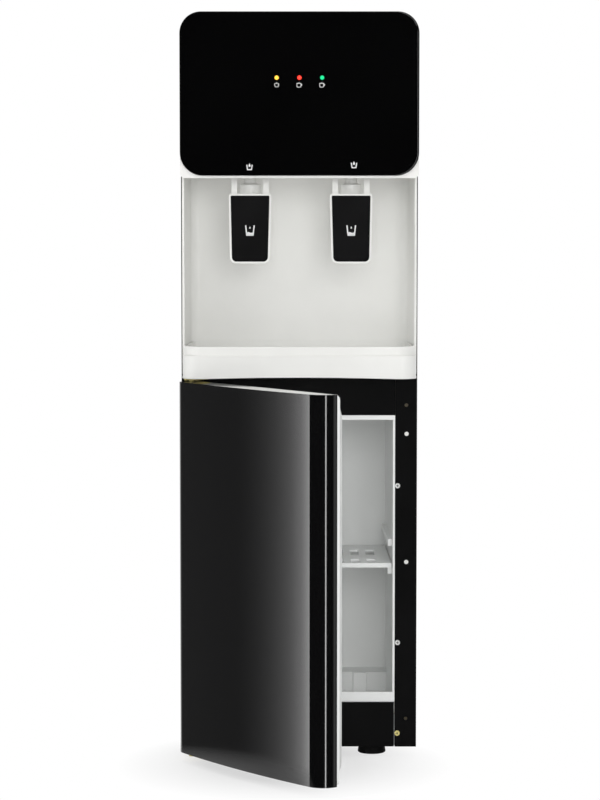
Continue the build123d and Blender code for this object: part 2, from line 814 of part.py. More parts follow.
def cold_tank_foam():
    pocket = (cold_radius + coil_radius * 2 + 0.1) / math.cos(math.pi / coil_sides) + 0.4
    base = cold_bottom - foam_base
    outer = rod_z(0, seat_y, base, cold_top - 3, pocket + foam_wall)
    inner = rod_z(0, seat_y, cold_bottom, cold_top, pocket)
    hole = rod_z(20, -30 + seat_y, base - 8, cold_bottom + 1, 5.4)
    back = cabinet_rear - sheet
    stand = block(-20, 20, 40, back, base - 8, base)
    stand += block(-20, 20, back - 6, back, base - 44, base)
    return outer - inner - hole + stand


save("cold_tank_foam", cold_tank_foam())


def hot_tank():
    r = hot_radius
    shell = spin([(0, hot_bottom), (r - 12, hot_bottom), (r, hot_bottom + 12), (r, hot_top - 12),
                  (r - 12, hot_top), (0, hot_top)], hot_x, hot_y)
    for turn in (30, 150, 270):
        dx = (r - 8) * math.cos(math.radians(turn))
        dy = (r - 8) * math.sin(math.radians(turn))
        shell += block(hot_x + dx - 5, hot_x + dx + 5, hot_y + dy - 5, hot_y + dy + 5, header_top,
                       hot_bottom + 12)
    shell += rod_z(hot_x, hot_y, hot_top - 2, hot_top + 14, 5)
    shell += rod_z(hot_x + 22, hot_y, hot_top - 6, hot_top + 12, 4)
    shell += rod_x(hot_y, drain_stub_z, hot_x - hot_radius - 10, hot_x - hot_radius + 3, 5)
    return shell


save("hot_tank", hot_tank())


def hot_thermostats():
    pieces = []
    for z in (600.0, 650.0):
        body = rod_x(hot_y, z, hot_x + hot_radius, hot_x + hot_radius + 9, 9)
        body += block(hot_x + hot_radius + 8, hot_x + hot_radius + 18, hot_y - 4, hot_y - 3, z - 3,
                      z + 3)
        body += block(hot_x + hot_radius + 8, hot_x + hot_radius + 18, hot_y + 3, hot_y + 4, z - 3,
                      z + 3)
        pieces.append(body)
    return pieces


save("hot_thermostats", *hot_thermostats())


def supply_board():
    x1 = half_body - sheet
    board = block(x1 - 11.6, x1 - 10, -20, 90, 600, 720)
    for y in (-14.0, 84.0):
        for z in (606.0, 714.0):
            board += rod_x(y, z, x1 - 10, x1, 3)
    board += block(x1 - 34, x1 - 11.6, 10, 46, 640, 684)
    board += block(x1 - 28, x1 - 11.6, 56, 76, 620, 640)
    for i in range(4):
        board += rod_x(-8 + i * 14, 704, x1 - 27, x1 - 11.6, 4)
    board += block(x1 - 22, x1 - 11.6, -12, 2, 612, 690)
    return board


save("circuit_boards", indicator_board(), supply_board())


def tube(points, bend, radius):
    path = FilletPolyline(*points, radius=bend)
    ring = Plane(origin=path @ 0, z_dir=path % 0) * Circle(radius)
    return sweep(ring, path=path)


def water_tubes():
    left, right = tap_places()
    start = inlet_end
    hot = tube([(left, start, inlet_z), (left, start + 28, inlet_z), (left + 4, -30, 760),
                (hot_x, hot_y, 745), (hot_x, hot_y, hot_top + 14)], 14, tube_radius)
    cold = tube([(right, start, inlet_z), (right, start + 28, inlet_z), (50, -40, 762),
                 (20, -30, 753), (20, -30, cold_bottom - 20)], 8, tube_radius)
    drain = tube([(hot_x - hot_radius - 10, hot_y, drain_stub_z), (drain_x, hot_y, drain_stub_z),
                  (drain_x, hot_y + 32, drain_z), (drain_x, drain_front, drain_z)], 14,
                 tube_radius)
    return [hot, cold, drain]


save("water_tubes", *water_tubes())

# ---------------------------------------------------------------- rear equipment


def compressor():
    z0 = foot_height + sheet + 1.5
    pot = Pos(0, comp_y, z0 + 12) * extrude(SlotOverall(116, 80), amount=60)
    pot = fillet(pot.faces().sort_by(Axis.Z)[0].edges(), 12)
    dome = Pos(0, comp_y, z0 + 72) * extrude(SlotOverall(112, 76), amount=56)
    dome = fillet(dome.faces().sort_by(Axis.Z)[-1].edges(), 25)
    plate = block(-72, 72, comp_y - 36, comp_y + 36, z0 + 9, z0 + 12.6)
    plate -= block(-52, 52, comp_y - 40, comp_y - 24, z0 + 6, z0 + 14)
    box = block(50, 74, comp_y - 18, comp_y + 18, z0 + 36, z0 + 68)
    stubs = rod_z(-30, comp_y, z0 + 110, z0 + 140, 4)
    stubs += rod_z(-44, comp_y + 14, z0 + 100, z0 + 132, 3)
    return pot + dome + plate + box + stubs


save("compressor", compressor())


def compressor_mounts():
    z0 = foot_height + sheet + 1.5
    mounts = []
    for x in (-64.0, 64.0):
        for y in (comp_y - 29.0, comp_y + 29.0):
            mounts.append(spin([(0, z0), (8.0, z0), (9.0, z0 + 2), (7.0, z0 + 5), (8.5, z0 + 7),
                                (8.0, z0 + 9), (0, z0 + 9)], x, y))
    return mounts


save("compressor_mounts", *compressor_mounts())


def condenser():
    y = condenser_y
    step = (condenser_high - condenser_low) / (condenser_passes - 1)
    half = condenser_half - step / 2
    edges = []
    side = -1
    for i in range(condenser_passes):
        z = condenser_low + i * step
        edges.append(Line((side * half, y, z), (-side * half, y, z)))
        if i < condenser_passes - 1:
            x = -side * half
            edges.append(ThreePointArc((x, y, z), (x - side * step / 2, y, z + step / 2),
                                       (x, y, z + step)))
        side = -side
    path = Wire(edges)
    ring = Plane(origin=path @ 0, z_dir=path % 0) * Circle(2.5)
    tubes = sweep(ring, path=path)
    wires = []
    for i in range(14):
        x = (i - 6.5) * 13.0
        wires.append(block(x - 0.8, x + 0.8, y + 2.3, y + 3.9, condenser_low - 12,
                           condenser_high + 12))
        wires.append(block(x - 0.8, x + 0.8, y - 3.9, y - 2.3, condenser_low - 12,
                           condenser_high + 12))
    body = tubes
    for w in wires:
        body = body + w
    return body


save("condenser", condenser())


def condenser_brackets():
    pieces = []
    step = (condenser_high - condenser_low) / (condenser_passes - 1)
    for side in (-1, 1):
        for i in (1, condenser_passes - 2):
            z = condenser_low + i * step
            x = side * 78.0
            foot = block(x - 9, x + 9, cabinet_rear, cabinet_rear + 1.5, z - 14, z + 14)
            web = block(x - 9, x + 9, cabinet_rear, condenser_y - 2.8, z - 1, z + 1)
            clip = rod_x(condenser_y, z, x - 9, x + 9, 4.2)
            clip -= rod_x(condenser_y, z, x - 10, x + 10, 2.6)
            clip -= block(x - 10, x + 10, condenser_y, condenser_y + 6, z - 1.2, z + 1.2)
            for k in range(14):
                wx = (k - 6.5) * 13.0
                clip -= block(wx - 1.2, wx + 1.2, condenser_y - 6, condenser_y + 6, z - 6, z + 6)
                web -= block(wx - 1.2, wx + 1.2, condenser_y - 5, condenser_y, z - 6, z + 6)
            pieces.append(foot + web + clip)
    return pieces


save("condenser_brackets", *condenser_brackets())


def filter_drier():
    x = -112.0
    y = 128.0
    body = spin([(0, 60), (2.5, 60), (2.5, 74), (9, 84), (9, 140), (2.0, 152), (2.0, 168), (0, 168)],
                x, y)
    strap = block(x - 12, x + 12, y + 8, cabinet_rear - sheet, 106, 116)
    strap += rod_z(x, y, 106, 116, 10.2)
    return body + strap


save("filter_drier", filter_drier())


def power_inlet():
    # cord gland through the rear sheet
    gland = rod_y(92, 112, cabinet_rear - 6, cabinet_rear + 2.5, 9.0)
    gland += rod_y(92, 112, cabinet_rear, cabinet_rear + 2.5, 12.0)
    gland += rod_y(92, 112, cabinet_rear + 2.5, cabinet_rear + 9, 7.5)
    gland -= rod_y(92, 112, cabinet_rear - 8, cabinet_rear + 12, 4.0)
    return gland


save("power_inlet", power_inlet())

switch_x = (48.0, 84.0)
switch_z = 862.5


def switch_bezel(x):
    frame = block(x - 15, x + 15, cabinet_rear, cabinet_rear + 2, switch_z - 19.5, switch_z + 19.5)
    frame = fillet(frame.edges().filter_by(Axis.Y), 2.5)
    neck = block(x - 12.6, x + 12.6, cabinet_rear - 14, cabinet_rear, switch_z - 17, switch_z + 17)
    hole = block(x - 10.5, x + 10.5, cabinet_rear - 12, cabinet_rear + 3, switch_z - 14.5,
                 switch_z + 14.5)
    return frame + neck - hole


save("switch_bezel", *[switch_bezel(x) for x in switch_x])


def rocker(x):
    # V shaped cap that rocks about its middle
    y = cabinet_rear
    pts = [(y - 6, switch_z - 9), (y + 0.4, switch_z - 13.4), (y + 5.0, switch_z - 12.6),
           (y + 2.6, switch_z), (y + 1.0, switch_z + 13.2), (y - 2.6, switch_z + 12.6),
           (y - 6, switch_z + 8)]
    cap = side_prism(pts, x - 9.8, x + 9.8)
    return cap


save("heat_switch", rocker(switch_x[0]))
save("cool_switch", rocker(switch_x[1]))


def drain_outlet():
    x = drain_x
    z = drain_z
    pipe = rod_y(x, z, drain_front, cabinet_rear + 14, 6.0)
    pipe += rod_y(x, z, cabinet_rear - 5, cabinet_rear, 10.0)
    pipe += rod_y(x, z, cabinet_rear, cabinet_rear + 3, 13.0)
    pipe -= rod_y(x, z, drain_front - 2, cabinet_rear + 16, 3.5)
    return pipe


save("drain_outlet", drain_outlet())


def drain_cap():
    x = drain_x
    z = drain_z
    y0 = cabinet_rear + 3.4
    cap = rod_y(x, z, y0, y0 + 15, 10.5)
    cap = fillet(cap.faces().sort_by(Axis.Y)[-1].edges(), 1.5)
    cap -= rod_y(x, z, y0 - 1, cabinet_rear + 14.4, 6.3)
    for i in range(12):
        a = math.radians(i * 30)
        cap -= rod_y(x + 11.2 * math.cos(a), z + 11.2 * math.sin(a), y0 + 1, y0 + 16, 1.5)
    return cap


save("drain_cap", drain_cap())

# ---------------------------------------------------------------- door


def door_face(inset, back):
    # closed plan outline: bowed front, round corners; inset shrinks it all round
    half = door_width / 2 - inset
    lead = door_back - door_depth + inset
    reach = ((door_width / 2) ** 2 + door_bow ** 2) / (2 * door_bow) - inset
    r = door_corner - inset
    cy = lead + reach
    cu = half - r
    cv = cy - math.sqrt((reach - r) ** 2 - cu ** 2)
    lean = math.atan2(cu, cy - cv)
    tx = cu + r * math.sin(lean)
    ty = cv - r * math.cos(lean)
    mid = (lean + math.pi / 2) / 2
    mx = cu + r * math.sin(mid)
    my = cv - r * math.cos(mid)
    edges = [
        Line((-half, back), (-half, cv)),
        ThreePointArc((-half, cv), (-mx, my), (-tx, ty)),
        ThreePointArc((-tx, ty), (0, lead), (tx, ty)),
        ThreePointArc((tx, ty), (mx, my), (half, cv)),
        Line((half, cv), (half, back)),
        Line((half, back), (-half, back)),
    ]
    return make_face(Wire(edges))


def door_prism(inset, back, z0, z1):
    return Pos(0, 0, z0) * extrude(door_face(inset, back), amount=z1 - z0, dir=(0, 0, 1))


def opened(shape):
    axis = Axis((hinge_x, hinge_y, 0), (0, 0, 1))
    return shape.rotate(axis, -door_angle)


shell_back = door_back - door_rim
cap_height = 7.0
boss_reach = 24.0
boss_radius = 7.0


def door_shell():
    outer = door_prism(0, shell_back, door_bottom, door_top)
    inner = door_prism(door_skin, shell_back + 5, door_bottom - 5, door_top + 5)
    shell = outer - inner
    hem = block(-door_width / 2 + 0.5, -door_width / 2 + 10, shell_back - 1.2, shell_back,
                door_bottom + boss_reach + 2, door_top - boss_reach - 2)
    return shell + hem + mirror_x(hem)


def hinge_boss(z0, z1, extra):
    return rod_z(hinge_x, hinge_y, z0, z1, boss_radius + extra)


def door_caps():
    top = door_prism(door_skin, shell_back, door_top - cap_height, door_top - 0.4)
    low = door_prism(door_skin, shell_back, door_bottom + 0.4, door_bottom + cap_height)
    behind = block(-200, 0, shell_back, shell_back + 20, 0, 600)
    top = top + hinge_boss(door_top - boss_reach, door_top - cap_height, 0) - behind
    low = low + hinge_boss(door_bottom + cap_height, door_bottom + boss_reach, 0) - behind
    bore = pin_radius + pin_clearance
    top -= rod_z(hinge_x, hinge_y, door_top - 21, door_top + 2, bore)
    low -= rod_z(hinge_x, hinge_y, door_bottom - 2, door_bottom + 21, bore)
    return [top, low]


def pan_half():
    return opening_half - liner_lip - 16


def door_foam():
    foam = door_prism(door_skin, shell_back - 1.2, door_bottom + cap_height,
                      door_top - cap_height)
    foam -= hinge_boss(door_top - boss_reach, door_top, 0)
    foam -= hinge_boss(door_bottom, door_bottom + boss_reach, 0)
    p = pan_half()
    pan = block(-p - 2, p + 2, shell_back - 14, shell_back + 1, 98, 432)
    return foam - pan


def door_liner():
    rim = block(-door_width / 2 + 3.5, door_width / 2 - 0.3, shell_back, shell_back + 4.5,
                door_bottom + 1.5, door_top - 1.5)
    rim = fillet(rim.edges().filter_by(Axis.Y), 6)
    p = pan_half()
    pan = block(-p - 1.9, p + 1.9, shell_back - 13.9, shell_back + 1, 98.1, 431.9)
    recess = block(-p, p, shell_back - 12, shell_back + 10, 100, 430)
    recess = fillet(recess.edges().filter_by(Axis.Y), 14)
    recess = fillet(recess.faces().sort_by(Axis.Y)[0].edges(), 4)
    liner = rim + pan - recess
    for z in (185.0, 265.0, 345.0):
        liner += block(-p + 1, p - 1, shell_back - 13, shell_back - 7, z - 4, z + 4)
    step = block(-door_width / 2 + 10, door_width / 2 - 7, shell_back + 4.5, shell_back + 6.5,
                 door_bottom + 9, door_top - 9)
    step = fillet(step.edges().filter_by(Axis.Y), 18)
    inner = block(-door_width / 2 + 28, door_width / 2 - 25, shell_back + 4, shell_back + 8,
                  door_bottom + 27, door_top - 27)
    return liner + step - inner


def door_gasket():
    y0 = shell_back + 6.5
    outer = block(-door_width / 2 + 9.4, door_width / 2 - 2.2, y0, door_back + gasket_reach,
                  door_bottom + 8, door_top - 8)
    outer = fillet(outer.edges().filter_by(Axis.Y), 24)
    inner = block(-door_width / 2 + 23, door_width / 2 - 16, y0 - 1, door_back + 5,
                  door_bottom + 22, door_top - 22)
    inner = fillet(inner.edges().filter_by(Axis.Y), 12)
    ring = outer - inner
    groove_out = block(-door_width / 2 + 13, door_width / 2 - 6, door_back + 0.3, door_back + 1.5,
                       door_bottom + 4, door_top - 4)
    groove_out = fillet(groove_out.edges().filter_by(Axis.Y), 20)
    ridge = block(-200, 200, door_back + 0.3, door_back + 1.5, 0, 600) - groove_out
    return ring - ridge


save("door_shell", opened(door_shell()))
save("door_caps", *[opened(cap) for cap in door_caps()])
save("door_foam", opened(door_foam()))
save("door_liner", opened(door_liner()))
save("door_gasket", opened(door_gasket()))


plate_end = hinge_x + 23.8
sunk_head = 1.2
sunk_radius = 4.0
upper_screw_places = ((hinge_x + 0.8, cabinet_front + 10), (hinge_x + 17.8, cabinet_front + 10))


def upper_hinge():
    z0 = header_top
    pts = [(hinge_x - 9, hinge_y - 9), (hinge_x + 9, hinge_y - 9), (plate_end, cabinet_front - 2),
           (plate_end, cabinet_front + 24), (hinge_x - 9, cabinet_front + 24)]
    plate = plan_prism(pts, z0, z0 + bracket)
    plate = fillet(plate.edges().filter_by(Axis.Z).sort_by(Axis.Y)[:2], 5)
    for x, y in upper_screw_places:
        plate -= rod_z(x, y, z0 + bracket - sunk_head, z0 + bracket + 1, sunk_radius + 0.2)
    pin = rod_z(hinge_x, hinge_y, door_top - 18, z0 + bracket, pin_radius)
    return plate + pin


def lower_hinge():
    z1 = door_bottom - 0.8
    z0 = z1 - bracket
    pts = [(hinge_x - 9, hinge_y - 9), (hinge_x + 9, hinge_y - 9), (plate_end, cabinet_front - 2),
           (plate_end, cabinet_front + 30), (hinge_x - 9, cabinet_front + 30)]
    plate = plan_prism(pts, z0, z1)
    plate = fillet(plate.edges().filter_by(Axis.Z).sort_by(Axis.Y)[:2], 5)
    pad = block(hinge_x - 9, plate_end, cabinet_front + 0.5, cabinet_front + 30, z1, foot_height)
    pin = rod_z(hinge_x, hinge_y, z0 - 5, door_bottom + 18, pin_radius)
    head = rod_z(hinge_x, hinge_y, z0 - 5, z0, 4.5)
    return plate + pad + pin + head


save("upper_hinge", upper_hinge())
save("lower_hinge", lower_hinge())


def hinge_screws():
    pieces = [pan_screw(yellow_place[0], yellow_place[1], 3.6, cabinet_front),
              pan_screw(-yellow_place[0], yellow_place[1], 3.6, cabinet_front)]
    low = door_bottom - 0.8 - bracket
    for x, y in upper_screw_places:
        pieces.append(rod_z(x, cabinet_front + 18, low - 2, low, 4.5))
    top = header_top + bracket
    for x, y in upper_screw_places:
        pieces.append(rod_z(x, y, top - sunk_head, top, sunk_radius))
    return pieces


save("hinge_screws", *hinge_screws())
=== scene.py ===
import json
import math

import bpy
import numpy as np
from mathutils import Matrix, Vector


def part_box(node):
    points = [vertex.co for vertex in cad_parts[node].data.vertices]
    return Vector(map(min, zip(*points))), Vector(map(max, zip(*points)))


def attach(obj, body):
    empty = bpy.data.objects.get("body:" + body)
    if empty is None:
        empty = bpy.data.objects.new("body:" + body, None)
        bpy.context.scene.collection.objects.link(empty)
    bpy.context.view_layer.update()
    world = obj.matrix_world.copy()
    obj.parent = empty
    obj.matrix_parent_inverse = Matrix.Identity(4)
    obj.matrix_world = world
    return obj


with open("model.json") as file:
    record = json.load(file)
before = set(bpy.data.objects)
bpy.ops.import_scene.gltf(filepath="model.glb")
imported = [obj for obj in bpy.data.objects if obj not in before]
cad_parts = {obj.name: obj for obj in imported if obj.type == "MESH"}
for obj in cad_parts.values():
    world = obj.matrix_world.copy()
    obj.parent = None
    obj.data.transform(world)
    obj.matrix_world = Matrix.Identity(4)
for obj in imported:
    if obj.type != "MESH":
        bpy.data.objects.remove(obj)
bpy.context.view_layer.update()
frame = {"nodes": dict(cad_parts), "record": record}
nodes = frame["nodes"]
mm = 0.001
print("frame loaded:", len(nodes), "nodes")


# shader helpers

def newMaterial(name):
    material = bpy.data.materials.new(name)
    material.use_nodes = True
    tree = material.node_tree
    return material, tree, tree.nodes["Principled BSDF"]


def addNoise(tree, scale, detail=2.0, stretch=(1, 1, 1)):
    where = tree.nodes.new("ShaderNodeTexCoord")
    mapping = tree.nodes.new("ShaderNodeMapping")
    mapping.inputs["Scale"].default_value = stretch
    noise = tree.nodes.new("ShaderNodeTexNoise")
    noise.inputs["Scale"].default_value = scale
    noise.inputs["Detail"].default_value = detail
    tree.links.new(where.outputs["Object"], mapping.inputs["Vector"])
    tree.links.new(mapping.outputs["Vector"], noise.inputs["Vector"])
    return noise.outputs["Fac"]


def addCells(tree, scale):
    where = tree.nodes.new("ShaderNodeTexCoord")
    cells = tree.nodes.new("ShaderNodeTexVoronoi")
    cells.inputs["Scale"].default_value = scale
    tree.links.new(where.outputs["Object"], cells.inputs["Vector"])
    return cells


def tint(tree, shader, factor, stops):
    ramp = tree.nodes.new("ShaderNodeValToRGB")
    marks = ramp.color_ramp.elements
    for _ in stops[2:]:
        marks.new(0.5)
    for mark, (place, colour) in zip(marks, stops):
        mark.position = place
        mark.color = (*colour, 1)
    tree.links.new(factor, ramp.inputs["Fac"])
    tree.links.new(ramp.outputs["Color"], shader.inputs["Base Color"])


def spread(tree, shader, factor, low, high):
    reach = tree.nodes.new("ShaderNodeMapRange")
    reach.inputs["From Min"].default_value = 0.3
    reach.inputs["From Max"].default_value = 0.7
    reach.inputs["To Min"].default_value = low
    reach.inputs["To Max"].default_value = high
    tree.links.new(factor, reach.inputs["Value"])
    tree.links.new(reach.outputs["Result"], shader.inputs["Roughness"])


def relief(tree, shader, factor, depth, strength=1.0, under=None):
    bump = tree.nodes.new("ShaderNodeBump")
    bump.inputs["Strength"].default_value = strength
    bump.inputs["Distance"].default_value = depth
    tree.links.new(factor, bump.inputs["Height"])
    if under is not None:
        tree.links.new(under.outputs["Normal"], bump.inputs["Normal"])
    tree.links.new(bump.outputs["Normal"], shader.inputs["Normal"])
    return bump


# materials, one function each

def whitePlastic(name, low, high, gloss, wave=0.04):
    # injection moulded plastic: even colour, faint flow marks, fine spark grain
    material, tree, shader = newMaterial(name)
    tint(tree, shader, addNoise(tree, 9, 3), [(0.35, low), (0.65, high)])
    spread(tree, shader, addNoise(tree, 60, 4), gloss, gloss + 0.08)
    waves = relief(tree, shader, addNoise(tree, 14, 1), 0.0006, wave)
    relief(tree, shader, addNoise(tree, 1800, 2), 0.00006, 0.25, waves)
    shader.inputs["IOR"].default_value = 1.5
    shader.inputs["Subsurface Weight"].default_value = 0.04
    shader.inputs["Subsurface Radius"].default_value = (0.004, 0.004, 0.004)
    return material


def glossBlack(name, colour, lift, gloss, wave, shine):
    # clear-coated black: orange peel, faint dust in the gloss
    material, tree, shader = newMaterial(name)
    tint(tree, shader, addNoise(tree, 6, 2), [(0.3, colour), (0.7, lift)])
    spread(tree, shader, addNoise(tree, 320, 6), gloss, gloss + 0.05)
    broad = relief(tree, shader, addNoise(tree, 7, 1), 0.0008, wave)
    relief(tree, shader, addNoise(tree, 420, 1), 0.00003, 0.12, broad)
    shader.inputs["Specular IOR Level"].default_value = shine
    shader.inputs["Coat Weight"].default_value = shine
    shader.inputs["Coat Roughness"].default_value = 0.04
    return material


def paintedSteel(name, colour, lift, gloss, grain, shine=0.4):
    material, tree, shader = newMaterial(name)
    tint(tree, shader, addNoise(tree, 12, 4), [(0.3, colour), (0.7, lift)])
    spread(tree, shader, addNoise(tree, 90, 5), gloss, gloss + 0.1)
    relief(tree, shader, addNoise(tree, grain, 2), 0.00012, 0.35)
    shader.inputs["Specular IOR Level"].default_value = shine
    return material


def galvanised(name):
    # zinc spangle: flat crystals of slightly different greys
    material, tree, shader = newMaterial(name)
    crystals = addCells(tree, 70)
    tint(tree, shader, crystals.outputs["Color"],
         [(0.0, (0.52, 0.53, 0.54)), (1.0, (0.72, 0.73, 0.74))])
    spread(tree, shader, addNoise(tree, 40, 5), 0.32, 0.5)
    relief(tree, shader, crystals.outputs["Distance"], 0.00005, 0.2)
    shader.inputs["Metallic"].default_value = 0.5
    return material


def plated(name, stops, gloss, metal=1.0):
    # bright plating with tarnish that follows a cloudy pattern
    material, tree, shader = newMaterial(name)
    tint(tree, shader, addNoise(tree, 130, 4), stops)
    spread(tree, shader, addNoise(tree, 300, 4), gloss, gloss + 0.15)
    relief(tree, shader, addNoise(tree, 900, 2), 0.00004, 0.3)
    shader.inputs["Metallic"].default_value = metal
    return material


def brushed(name, low, high, stretch):
    material, tree, shader = newMaterial(name)
    grain = addNoise(tree, 60, 6, stretch)
    tint(tree, shader, grain, [(0.3, low), (0.7, high)])
    spread(tree, shader, grain, 0.22, 0.42)
    relief(tree, shader, grain, 0.00003, 0.3)
    shader.inputs["Metallic"].default_value = 1.0
    return material


def foam(name):
    material, tree, shader = newMaterial(name)
    cells = addCells(tree, 420)
    tint(tree, shader, addNoise(tree, 25, 5),
         [(0.3, (0.42, 0.36, 0.24)), (0.7, (0.52, 0.46, 0.33))])
    relief(tree, shader, cells.outputs["Distance"], 0.0006, 0.6)
    shader.inputs["Roughness"].default_value = 0.9
    return material


def rubber(name, low, high, rough, shine=0.5):
    material, tree, shader = newMaterial(name)
    tint(tree, shader, addNoise(tree, 45, 4), [(0.3, low), (0.7, high)])
    spread(tree, shader, addNoise(tree, 150, 3), rough, rough + 0.15)
    relief(tree, shader, addNoise(tree, 1300, 2), 0.0001, 0.35)
    shader.inputs["Specular IOR Level"].default_value = shine
    return material


def silicone(name):
    material, tree, shader = newMaterial(name)
    tint(tree, shader, addNoise(tree, 30, 2), [(0.3, (0.78, 0.8, 0.8)), (0.7, (0.88, 0.9, 0.9))])
    spread(tree, shader, addNoise(tree, 200, 3), 0.22, 0.35)
    shader.inputs["Transmission Weight"].default_value = 0.35
    shader.inputs["Subsurface Weight"].default_value = 0.3
    shader.inputs["Subsurface Radius"].default_value = (0.003, 0.003, 0.003)
    return material


def circuitBoard(name):
    material, tree, shader = newMaterial(name)
    tracks = addCells(tree, 160)
    tint(tree, shader, tracks.outputs["Color"],
         [(0.0, (0.01, 0.09, 0.03)), (0.6, (0.01, 0.13, 0.04)), (0.9, (0.05, 0.2, 0.07))])
    spread(tree, shader, addNoise(tree, 80, 3), 0.25, 0.4)
    return material


def litLens(name, body, glow, strength):
    # slightly cloudy lens lit from behind
    material, tree, shader = newMaterial(name)
    tint(tree, shader, addNoise(tree, 200, 3), [(0.3, body), (0.7, glow)])
    spread(tree, shader, addNoise(tree, 500, 2), 0.08, 0.16)
    shader.inputs["Emission Color"].default_value = (*glow, 1)
    shader.inputs["Emission Strength"].default_value = strength
    return material


def glossSwitch(name, low, high):
    material, tree, shader = newMaterial(name)
    tint(tree, shader, addNoise(tree, 70, 3), [(0.3, low), (0.7, high)])
    spread(tree, shader, addNoise(tree, 200, 3), 0.18, 0.28)
    relief(tree, shader, addNoise(tree, 700, 2), 0.00005, 0.2)
    return material


# flat colour with fine tone noise, used for print and for painted shade
def inkAndShade(name, low, high):
    material, tree, shader = newMaterial(name)
    tint(tree, shader, addNoise(tree, 900, 3), [(0.3, low), (0.7, high)])
    spread(tree, shader, addNoise(tree, 1500, 2), 0.45, 0.6)
    return material


looks = {
    "white_plastic": whitePlastic("whitePlastic", (0.82, 0.82, 0.795), (0.86, 0.86, 0.835), 0.3),
    # smoother liner plastic, painted lighter than whitePlastic so the shaded interior reads bright:
    # painted light
    "liner_plastic": whitePlastic("linerPlasticPaintedBright", (0.87, 0.88, 0.87), (0.90, 0.91, 0.90), 0.45,
                                  0.0),
    "black_gloss": glossBlack("glossBlack", (0.0008, 0.0008, 0.0009), (0.0012, 0.0012, 0.0013),
                              0.05, 0.02, 0.5),
    "black_satin": paintedSteel("satinBlack", (0.004, 0.004, 0.0042), (0.007, 0.007, 0.0073),
                                0.36, 1500, 0.08),
    "black_steel": paintedSteel("blackSteel", (0.002, 0.002, 0.0021), (0.0036, 0.0036, 0.0038),
                                0.3, 700, 0.08),
    "black_enamel": paintedSteel("blackEnamel", (0.006, 0.006, 0.006), (0.012, 0.012, 0.012),
                                 0.3, 500),
    "black_foot": rubber("footPlastic", (0.004, 0.004, 0.004), (0.007, 0.007, 0.007), 0.5, 0.15),
    "rubber": rubber("mountRubber", (0.008, 0.008, 0.008), (0.018, 0.018, 0.018), 0.7),
    "white_gasket": rubber("gasketVinyl", (0.6, 0.61, 0.6), (0.68, 0.69, 0.68), 0.4),
    "galvanised_steel": galvanised("galvanised"),
    "steel_screw": plated("zincScrew", [(0.3, (0.74, 0.74, 0.73)), (0.7, (0.92, 0.92, 0.91))], 0.25,
                          0.25),
    "yellow_zinc": plated("yellowZinc", [(0.25, (0.68, 0.54, 0.14)), (0.5, (0.85, 0.74, 0.28)),
                                         (0.75, (0.76, 0.64, 0.3))], 0.25, 0.35),
    "spring_steel": brushed("springSteel", (0.4, 0.4, 0.4), (0.6, 0.6, 0.6), (1, 1, 8)),
    "stainless": brushed("stainless", (0.45, 0.45, 0.44), (0.6, 0.6, 0.59), (1, 1, 14)),
    "copper": plated("copper", [(0.3, (0.5, 0.2, 0.09)), (0.7, (0.75, 0.36, 0.2))], 0.25),
    "foam": foam("foam"),
    "board": circuitBoard("circuitBoard"),
    "natural_plastic": whitePlastic("naturalPlastic", (0.66, 0.68, 0.7), (0.74, 0.76, 0.78), 0.3),
    "silicone": silicone("silicone"),
    "amber_lens": litLens("amberLens", (0.8, 0.35, 0.02), (1.0, 0.55, 0.06), 1.1),
    "red_lens": litLens("redLens", (0.6, 0.01, 0.01), (1.0, 0.05, 0.03), 1.2),
    "green_lens": litLens("greenLens", (0.01, 0.4, 0.12), (0.01, 0.7, 0.28), 0.6),
    "red_switch": glossSwitch("redSwitch", (0.45, 0.008, 0.006), (0.6, 0.012, 0.01)),
    "green_switch": glossSwitch("greenSwitch", (0.006, 0.25, 0.05), (0.01, 0.36, 0.08)),
}

doorLook = glossBlack("doorBlack", (0.002, 0.002, 0.0022), (0.0026, 0.0026, 0.0028), 0.08, 0.03,
                      0.9)

for row in frame["record"]["subparts"]:
    data = nodes[row["node"]].data
    data.materials.clear()
    data.materials.append(looks[row["material_slot"]])
for node in ("door_shell", "door_caps"):
    nodes[node].data.materials.clear()
    nodes[node].data.materials.append(doorLook)
print("materials on", len(nodes), "nodes")


# printed marks, as flat strips just off the surface that carries them

def surfacePlane(node, x, low, high):
    # depth of the node's front at a height, as offset and slope, read by two rays
    depths = []
    for z in (low, high):
        hit, place, _, _ = nodes[node].ray_cast(Vector((x, -1, z)), Vector((0, 1, 0)))
        depths.append(place.y)
    slope = (depths[1] - depths[0]) / (high - low)
    return depths[0] - slope * low, slope


def strip(points, width, closed=False):
    # flat strip along a line of (x, z) points: corner sides, then quads
    line = np.array(points, float)
    ahead = np.roll(line, -1, 0) - line
    behind = line - np.roll(line, 1, 0)
    if not closed:
        ahead[-1] = behind[-1]
        behind[0] = ahead[0]
    unit = [v / np.linalg.norm(v, axis=1)[:, None] for v in (ahead, behind)]
    along = unit[0] + unit[1]
    along /= np.linalg.norm(along, axis=1)[:, None]
    side = np.stack([-along[:, 1], along[:, 0]], 1)
    lean = np.maximum((side * np.stack([-unit[0][:, 1], unit[0][:, 0]], 1)).sum(1), 0.5)
    half = side * (width / 2 / lean)[:, None]
    verts = np.concatenate([line - half, line + half])
    n = len(line)
    first = np.arange(n if closed else n - 1)
    after = (first + 1) % n
    quads = np.stack([first, after, after + n, first + n], 1)
    return verts, quads


def arc(x, z, radius, start, end, count=14):
    turn = np.radians(np.linspace(start, end, count))
    return np.stack([x + radius * np.cos(turn), z + radius * np.sin(turn)], 1)


def dropOutline(x, z, size):
    # round belly below, point above
    belly = arc(x, z, size * 0.42, 150, 390, 12)
    return np.concatenate([belly, [(x, z + size)]])


def filled(points):
    line = np.array(points, float)
    return line, [list(range(len(line)))]


